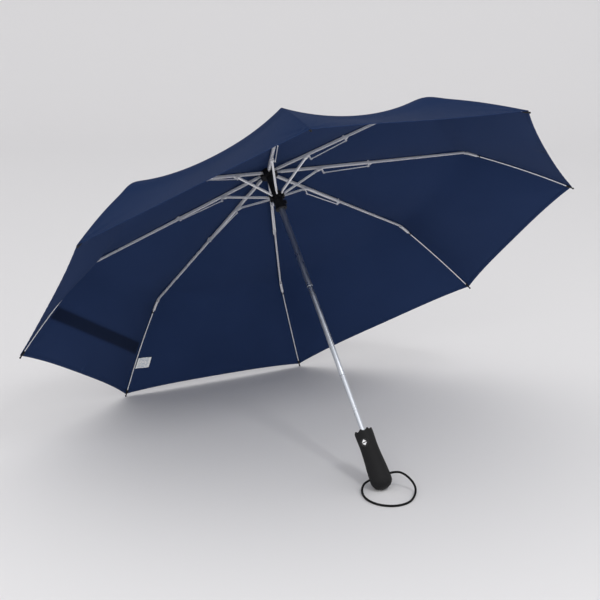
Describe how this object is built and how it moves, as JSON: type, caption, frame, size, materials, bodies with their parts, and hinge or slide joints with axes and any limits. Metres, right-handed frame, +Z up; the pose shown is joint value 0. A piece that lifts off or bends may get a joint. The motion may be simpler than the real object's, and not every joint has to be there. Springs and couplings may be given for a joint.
{
  "type": "folding umbrella",
  "caption": "Compact three-fold automatic umbrella, open, with a navy cloth canopy, bright steel ribs, telescoping chrome shaft, black soft-touch handle and wrist cord.",
  "frame": {"origin": "centre of the bounding box (without the wrist cord), on the floor that the umbrella lies on", "axes": "+Z up from the floor; +X along the line between the two rib tips that touch the floor; the shaft lies in the YZ plane, with the handle towards -Y and down"},
  "size_m": [0.906, 0.6818, 0.6047],
  "materials": {
    "canopy_cloth": "navy pongee polyester, fine plain weave",
    "label_cloth": "white woven satin",
    "rib_steel": "bright zinc-plated strip",
    "rod_steel": "polished plated wire",
    "tube_chrome": "polished",
    "hub_plastic": "moulded, satin",
    "grip": "soft-touch, matt",
    "button": "satin",
    "core": "moulded",
    "spring_steel": "spring steel",
    "cord": "braided, round"
  },
  "bodies": {
    "handle": {"handle_grip": "grip", "handle_core": "core", "button_bezel": "button", "lower_tube": "tube_chrome", "drive_spring": "spring_steel", "button_spring": "spring_steel", "wrist_cord": "cord"},
    "push_button": {"push_button": "button", "release_latch": "rib_steel"},
    "middle_tube": {"middle_tube": "tube_chrome"},
    "upper_tube": {"upper_tube": "tube_chrome", "notch": "hub_plastic", "notch_wire": "rod_steel", "hub_sleeve": "hub_plastic", "top_cap": "hub_plastic", "canopy": "canopy_cloth"},
    "runner": {"runner": "hub_plastic", "runner_clip": "rib_steel"},
    "top_rib_1": {"top_rib_1": "rib_steel"},
    "stretcher_1": {"stretcher_1": "rib_steel"},
    "link_1": {"link_1": "rib_steel"},
    "middle_rib_1": {"middle_rib_1": "rib_steel"},
    "outer_rib_1": {"outer_rib_1": "rod_steel", "tie_strap": "canopy_cloth"},
    "top_rib_2": {"top_rib_2": "rib_steel"},
    "stretcher_2": {"stretcher_2": "rib_steel"},
    "link_2": {"link_2": "rib_steel"},
    "middle_rib_2": {"middle_rib_2": "rib_steel"},
    "outer_rib_2": {"outer_rib_2": "rod_steel", "care_label": "label_cloth"},
    "top_rib_3": {"top_rib_3": "rib_steel"},
    "stretcher_3": {"stretcher_3": "rib_steel"},
    "link_3": {"link_3": "rib_steel"},
    "middle_rib_3": {"middle_rib_3": "rib_steel"},
    "outer_rib_3": {"outer_rib_3": "rod_steel"},
    "top_rib_4": {"top_rib_4": "rib_steel"},
    "stretcher_4": {"stretcher_4": "rib_steel"},
    "link_4": {"link_4": "rib_steel"},
    "middle_rib_4": {"middle_rib_4": "rib_steel"},
    "outer_rib_4": {"outer_rib_4": "rod_steel"},
    "top_rib_5": {"top_rib_5": "rib_steel"},
    "stretcher_5": {"stretcher_5": "rib_steel"},
    "link_5": {"link_5": "rib_steel"},
    "middle_rib_5": {"middle_rib_5": "rib_steel"},
    "outer_rib_5": {"outer_rib_5": "rod_steel"},
    "top_rib_6": {"top_rib_6": "rib_steel"},
    "stretcher_6": {"stretcher_6": "rib_steel"},
    "link_6": {"link_6": "rib_steel"},
    "middle_rib_6": {"middle_rib_6": "rib_steel"},
    "outer_rib_6": {"outer_rib_6": "rod_steel"},
    "top_rib_7": {"top_rib_7": "rib_steel"},
    "stretcher_7": {"stretcher_7": "rib_steel"},
    "link_7": {"link_7": "rib_steel"},
    "middle_rib_7": {"middle_rib_7": "rib_steel"},
    "outer_rib_7": {"outer_rib_7": "rod_steel"},
    "top_rib_8": {"top_rib_8": "rib_steel"},
    "stretcher_8": {"stretcher_8": "rib_steel"},
    "link_8": {"link_8": "rib_steel"},
    "middle_rib_8": {"middle_rib_8": "rib_steel"},
    "outer_rib_8": {"outer_rib_8": "rod_steel"}
  },
  "joints": [
    {"name": "middle_slide", "type": "slide", "parent": "handle", "child": "middle_tube", "axis": [0, -0.6611, -0.7503], "range_m": [0, 0.1201]},
    {"name": "upper_slide", "type": "slide", "parent": "middle_tube", "child": "upper_tube", "axis": [0, -0.6611, -0.7503], "range_m": [0, 0.163], "deforming": ["drive_spring"]},
    {"name": "runner_slide", "type": "slide", "parent": "upper_tube", "child": "runner", "axis": [0, -0.6611, -0.7503], "range_m": [0, 0.11692], "deforming": ["canopy"]},
    {"name": "button_press", "type": "slide", "parent": "handle", "child": "push_button", "axis": [0.7431, 0.5021, -0.4423], "range_m": [0, 0.0025], "stiffness_N_per_m": 900, "springref_m": -0.001, "deforming": ["button_spring"]},
    {"name": "top_rib_hinge_1", "type": "hinge", "parent": "upper_tube", "child": "top_rib_1", "pos_m": [-0.01238, 0.12906, 0.43938], "axis": [0.3827, 0.6932, -0.6107], "range_deg": [-78.25, 0]},
    {"name": "stretcher_hinge_1", "type": "hinge", "parent": "top_rib_1", "child": "stretcher_1", "pos_m": [-0.0837, 0.13915, 0.40614], "axis": [0.3827, 0.6932, -0.6107], "range_deg": [0, 150.28]},
    {"name": "link_hinge_1", "type": "hinge", "parent": "stretcher_1", "child": "link_1", "pos_m": [-0.08438, 0.13476, 0.40073], "axis": [0.3827, 0.6932, -0.6107], "range_deg": [-149.94, 0]},
    {"name": "middle_rib_hinge_1", "type": "hinge", "parent": "top_rib_1", "child": "middle_rib_1", "pos_m": [-0.15774, 0.15393, 0.37652], "axis": [0.3827, 0.6932, -0.6107], "range_deg": [0, 180.05]},
    {"name": "outer_rib_hinge_1", "type": "hinge", "parent": "middle_rib_1", "child": "outer_rib_1", "pos_m": [-0.31011, 0.17648, 0.30666], "axis": [0.3827, 0.6932, -0.6107], "range_deg": [-153.25, 0], "deforming": ["tie_strap"]},
    {"name": "top_rib_hinge_2", "type": "hinge", "parent": "upper_tube", "child": "top_rib_2", "pos_m": [-0.00513, 0.13451, 0.43459], "axis": [0.9239, 0.2871, -0.253], "range_deg": [-78.25, 0]},
    {"name": "stretcher_hinge_2", "type": "hinge", "parent": "top_rib_2", "child": "stretcher_2", "pos_m": [-0.03467, 0.17594, 0.37373], "axis": [0.9239, 0.2871, -0.253], "range_deg": [0, 150.28]},
    {"name": "link_hinge_2", "type": "hinge", "parent": "stretcher_2", "child": "link_2", "pos_m": [-0.03495, 0.17185, 0.36806], "axis": [0.9239, 0.2871, -0.253], "range_deg": [-149.94, 0]},
    {"name": "middle_rib_hinge_2", "type": "hinge", "parent": "top_rib_2", "child": "middle_rib_2", "pos_m": [-0.06534, 0.22326, 0.31544], "axis": [0.9239, 0.2871, -0.253], "range_deg": [0, 180.05]},
    {"name": "outer_rib_hinge_2", "type": "hinge", "parent": "middle_rib_2", "child": "outer_rib_2", "pos_m": [-0.12845, 0.31278, 0.18657], "axis": [0.9239, 0.2871, -0.253], "range_deg": [-153.25, 0], "deforming": ["care_label"]},
    {"name": "top_rib_hinge_3", "type": "hinge", "parent": "upper_tube", "child": "top_rib_3", "pos_m": [0.00513, 0.13451, 0.43459], "axis": [0.9239, -0.2871, 0.253], "range_deg": [-78.25, 0]},
    {"name": "stretcher_hinge_3", "type": "hinge", "parent": "top_rib_3", "child": "stretcher_3", "pos_m": [0.03467, 0.17594, 0.37373], "axis": [0.9239, -0.2871, 0.253], "range_deg": [0, 150.28]},
    {"name": "link_hinge_3", "type": "hinge", "parent": "stretcher_3", "child": "link_3", "pos_m": [0.03495, 0.17185, 0.36806], "axis": [0.9239, -0.2871, 0.253], "range_deg": [-149.94, 0]},
    {"name": "middle_rib_hinge_3", "type": "hinge", "parent": "top_rib_3", "child": "middle_rib_3", "pos_m": [0.06534, 0.22326, 0.31544], "axis": [0.9239, -0.2871, 0.253], "range_deg": [0, 180.05]},
    {"name": "outer_rib_hinge_3", "type": "hinge", "parent": "middle_rib_3", "child": "outer_rib_3", "pos_m": [0.12845, 0.31278, 0.18657], "axis": [0.9239, -0.2871, 0.253], "range_deg": [-153.25, 0]},
    {"name": "top_rib_hinge_4", "type": "hinge", "parent": "upper_tube", "child": "top_rib_4", "pos_m": [0.01238, 0.12906, 0.43938], "axis": [0.3827, -0.6932, 0.6107], "range_deg": [-78.25, 0]},
    {"name": "stretcher_hinge_4", "type": "hinge", "parent": "top_rib_4", "child": "stretcher_4", "pos_m": [0.0837, 0.13915, 0.40614], "axis": [0.3827, -0.6932, 0.6107], "range_deg": [0, 150.28]},
    {"name": "link_hinge_4", "type": "hinge", "parent": "stretcher_4", "child": "link_4", "pos_m": [0.08438, 0.13476, 0.40073], "axis": [0.3827, -0.6932, 0.6107], "range_deg": [-149.94, 0]},
    {"name": "middle_rib_hinge_4", "type": "hinge", "parent": "top_rib_4", "child": "middle_rib_4", "pos_m": [0.15774, 0.15393, 0.37652], "axis": [0.3827, -0.6932, 0.6107], "range_deg": [0, 180.05]},
    {"name": "outer_rib_hinge_4", "type": "hinge", "parent": "middle_rib_4", "child": "outer_rib_4", "pos_m": [0.31011, 0.17648, 0.30666], "axis": [0.3827, -0.6932, 0.6107], "range_deg": [-153.25, 0]},
    {"name": "top_rib_hinge_5", "type": "hinge", "parent": "upper_tube", "child": "top_rib_5", "pos_m": [0.01238, 0.12137, 0.44616], "axis": [-0.3827, -0.6932, 0.6107], "range_deg": [-78.25, 0]},
    {"name": "stretcher_hinge_5", "type": "hinge", "parent": "top_rib_5", "child": "stretcher_5", "pos_m": [0.0837, 0.08712, 0.45198], "axis": [-0.3827, -0.6932, 0.6107], "range_deg": [0, 150.28]},
    {"name": "link_hinge_5", "type": "hinge", "parent": "stretcher_5", "child": "link_5", "pos_m": [0.08438, 0.08231, 0.44694], "axis": [-0.3827, -0.6932, 0.6107], "range_deg": [-149.94, 0]},
    {"name": "middle_rib_hinge_5", "type": "hinge", "parent": "top_rib_5", "child": "middle_rib_5", "pos_m": [0.15774, 0.05588, 0.46291], "axis": [-0.3827, -0.6932, 0.6107], "range_deg": [0, 180.05]},
    {"name": "outer_rib_hinge_5", "type": "hinge", "parent": "middle_rib_5", "child": "outer_rib_5", "pos_m": [0.31011, -0.01628, 0.47648], "axis": [-0.3827, -0.6932, 0.6107], "range_deg": [-153.25, 0]},
    {"name": "top_rib_hinge_6", "type": "hinge", "parent": "upper_tube", "child": "top_rib_6", "pos_m": [0.00513, 0.11593, 0.45096], "axis": [-0.9239, -0.2871, 0.253], "range_deg": [-78.25, 0]},
    {"name": "stretcher_hinge_6", "type": "hinge", "parent": "top_rib_6", "child": "stretcher_6", "pos_m": [0.03467, 0.05034, 0.48439], "axis": [-0.9239, -0.2871, 0.253], "range_deg": [0, 150.28]},
    {"name": "link_hinge_6", "type": "hinge", "parent": "stretcher_6", "child": "link_6", "pos_m": [0.03495, 0.04522, 0.47962], "axis": [-0.9239, -0.2871, 0.253], "range_deg": [-149.94, 0]},
    {"name": "middle_rib_hinge_6", "type": "hinge", "parent": "top_rib_6", "child": "middle_rib_6", "pos_m": [0.06534, -0.01345, 0.524], "axis": [-0.9239, -0.2871, 0.253], "range_deg": [0, 180.05]},
    {"name": "outer_rib_hinge_6", "type": "hinge", "parent": "middle_rib_6", "child": "outer_rib_6", "pos_m": [0.12845, -0.15258, 0.59657], "axis": [-0.9239, -0.2871, 0.253], "range_deg": [-153.25, 0]},
    {"name": "top_rib_hinge_7", "type": "hinge", "parent": "upper_tube", "child": "top_rib_7", "pos_m": [-0.00513, 0.11593, 0.45096], "axis": [-0.9239, 0.2871, -0.253], "range_deg": [-78.25, 0]},
    {"name": "stretcher_hinge_7", "type": "hinge", "parent": "top_rib_7", "child": "stretcher_7", "pos_m": [-0.03467, 0.05034, 0.48439], "axis": [-0.9239, 0.2871, -0.253], "range_deg": [0, 150.28]},
    {"name": "link_hinge_7", "type": "hinge", "parent": "stretcher_7", "child": "link_7", "pos_m": [-0.03495, 0.04522, 0.47962], "axis": [-0.9239, 0.2871, -0.253], "range_deg": [-149.94, 0]},
    {"name": "middle_rib_hinge_7", "type": "hinge", "parent": "top_rib_7", "child": "middle_rib_7", "pos_m": [-0.06534, -0.01345, 0.524], "axis": [-0.9239, 0.2871, -0.253], "range_deg": [0, 180.05]},
    {"name": "outer_rib_hinge_7", "type": "hinge", "parent": "middle_rib_7", "child": "outer_rib_7", "pos_m": [-0.12845, -0.15258, 0.59657], "axis": [-0.9239, 0.2871, -0.253], "range_deg": [-153.25, 0]},
    {"name": "top_rib_hinge_8", "type": "hinge", "parent": "upper_tube", "child": "top_rib_8", "pos_m": [-0.01238, 0.12137, 0.44616], "axis": [-0.3827, 0.6932, -0.6107], "range_deg": [-78.25, 0]},
    {"name": "stretcher_hinge_8", "type": "hinge", "parent": "top_rib_8", "child": "stretcher_8", "pos_m": [-0.0837, 0.08712, 0.45198], "axis": [-0.3827, 0.6932, -0.6107], "range_deg": [0, 150.28]},
    {"name": "link_hinge_8", "type": "hinge", "parent": "stretcher_8", "child": "link_8", "pos_m": [-0.08438, 0.08231, 0.44694], "axis": [-0.3827, 0.6932, -0.6107], "range_deg": [-149.94, 0]},
    {"name": "middle_rib_hinge_8", "type": "hinge", "parent": "top_rib_8", "child": "middle_rib_8", "pos_m": [-0.15774, 0.05588, 0.46291], "axis": [-0.3827, 0.6932, -0.6107], "range_deg": [0, 180.05]},
    {"name": "outer_rib_hinge_8", "type": "hinge", "parent": "middle_rib_8", "child": "outer_rib_8", "pos_m": [-0.31011, -0.01628, 0.47648], "axis": [-0.3827, 0.6932, -0.6107], "range_deg": [-153.25, 0]}
  ],
  "couplings": [
    {"joint": "middle_slide", "follows": "upper_slide", "ratio": 0.7362},
    {"joint": "top_rib_hinge_1", "follows": "runner_slide", "rad_per_m": -11.673},
    {"joint": "stretcher_hinge_1", "follows": "runner_slide", "rad_per_m": 22.425},
    {"joint": "link_hinge_1", "follows": "runner_slide", "rad_per_m": -22.374},
    {"joint": "middle_rib_hinge_1", "follows": "runner_slide", "rad_per_m": 26.87},
    {"joint": "outer_rib_hinge_1", "follows": "runner_slide", "rad_per_m": -22.869},
    {"joint": "top_rib_hinge_2", "follows": "runner_slide", "rad_per_m": -11.673},
    {"joint": "stretcher_hinge_2", "follows": "runner_slide", "rad_per_m": 22.425},
    {"joint": "link_hinge_2", "follows": "runner_slide", "rad_per_m": -22.374},
    {"joint": "middle_rib_hinge_2", "follows": "runner_slide", "rad_per_m": 26.87},
    {"joint": "outer_rib_hinge_2", "follows": "runner_slide", "rad_per_m": -22.869},
    {"joint": "top_rib_hinge_3", "follows": "runner_slide", "rad_per_m": -11.673},
    {"joint": "stretcher_hinge_3", "follows": "runner_slide", "rad_per_m": 22.425},
    {"joint": "link_hinge_3", "follows": "runner_slide", "rad_per_m": -22.374},
    {"joint": "middle_rib_hinge_3", "follows": "runner_slide", "rad_per_m": 26.87},
    {"joint": "outer_rib_hinge_3", "follows": "runner_slide", "rad_per_m": -22.869},
    {"joint": "top_rib_hinge_4", "follows": "runner_slide", "rad_per_m": -11.673},
    {"joint": "stretcher_hinge_4", "follows": "runner_slide", "rad_per_m": 22.425},
    {"joint": "link_hinge_4", "follows": "runner_slide", "rad_per_m": -22.374},
    {"joint": "middle_rib_hinge_4", "follows": "runner_slide", "rad_per_m": 26.87},
    {"joint": "outer_rib_hinge_4", "follows": "runner_slide", "rad_per_m": -22.869},
    {"joint": "top_rib_hinge_5", "follows": "runner_slide", "rad_per_m": -11.673},
    {"joint": "stretcher_hinge_5", "follows": "runner_slide", "rad_per_m": 22.425},
    {"joint": "link_hinge_5", "follows": "runner_slide", "rad_per_m": -22.374},
    {"joint": "middle_rib_hinge_5", "follows": "runner_slide", "rad_per_m": 26.87},
    {"joint": "outer_rib_hinge_5", "follows": "runner_slide", "rad_per_m": -22.869},
    {"joint": "top_rib_hinge_6", "follows": "runner_slide", "rad_per_m": -11.673},
    {"joint": "stretcher_hinge_6", "follows": "runner_slide", "rad_per_m": 22.425},
    {"joint": "link_hinge_6", "follows": "runner_slide", "rad_per_m": -22.374},
    {"joint": "middle_rib_hinge_6", "follows": "runner_slide", "rad_per_m": 26.87},
    {"joint": "outer_rib_hinge_6", "follows": "runner_slide", "rad_per_m": -22.869},
    {"joint": "top_rib_hinge_7", "follows": "runner_slide", "rad_per_m": -11.673},
    {"joint": "stretcher_hinge_7", "follows": "runner_slide", "rad_per_m": 22.425},
    {"joint": "link_hinge_7", "follows": "runner_slide", "rad_per_m": -22.374},
    {"joint": "middle_rib_hinge_7", "follows": "runner_slide", "rad_per_m": 26.87},
    {"joint": "outer_rib_hinge_7", "follows": "runner_slide", "rad_per_m": -22.869},
    {"joint": "top_rib_hinge_8", "follows": "runner_slide", "rad_per_m": -11.673},
    {"joint": "stretcher_hinge_8", "follows": "runner_slide", "rad_per_m": 22.425},
    {"joint": "link_hinge_8", "follows": "runner_slide", "rad_per_m": -22.374},
    {"joint": "middle_rib_hinge_8", "follows": "runner_slide", "rad_per_m": 26.87},
    {"joint": "outer_rib_hinge_8", "follows": "runner_slide", "rad_per_m": -22.869}
  ]
}
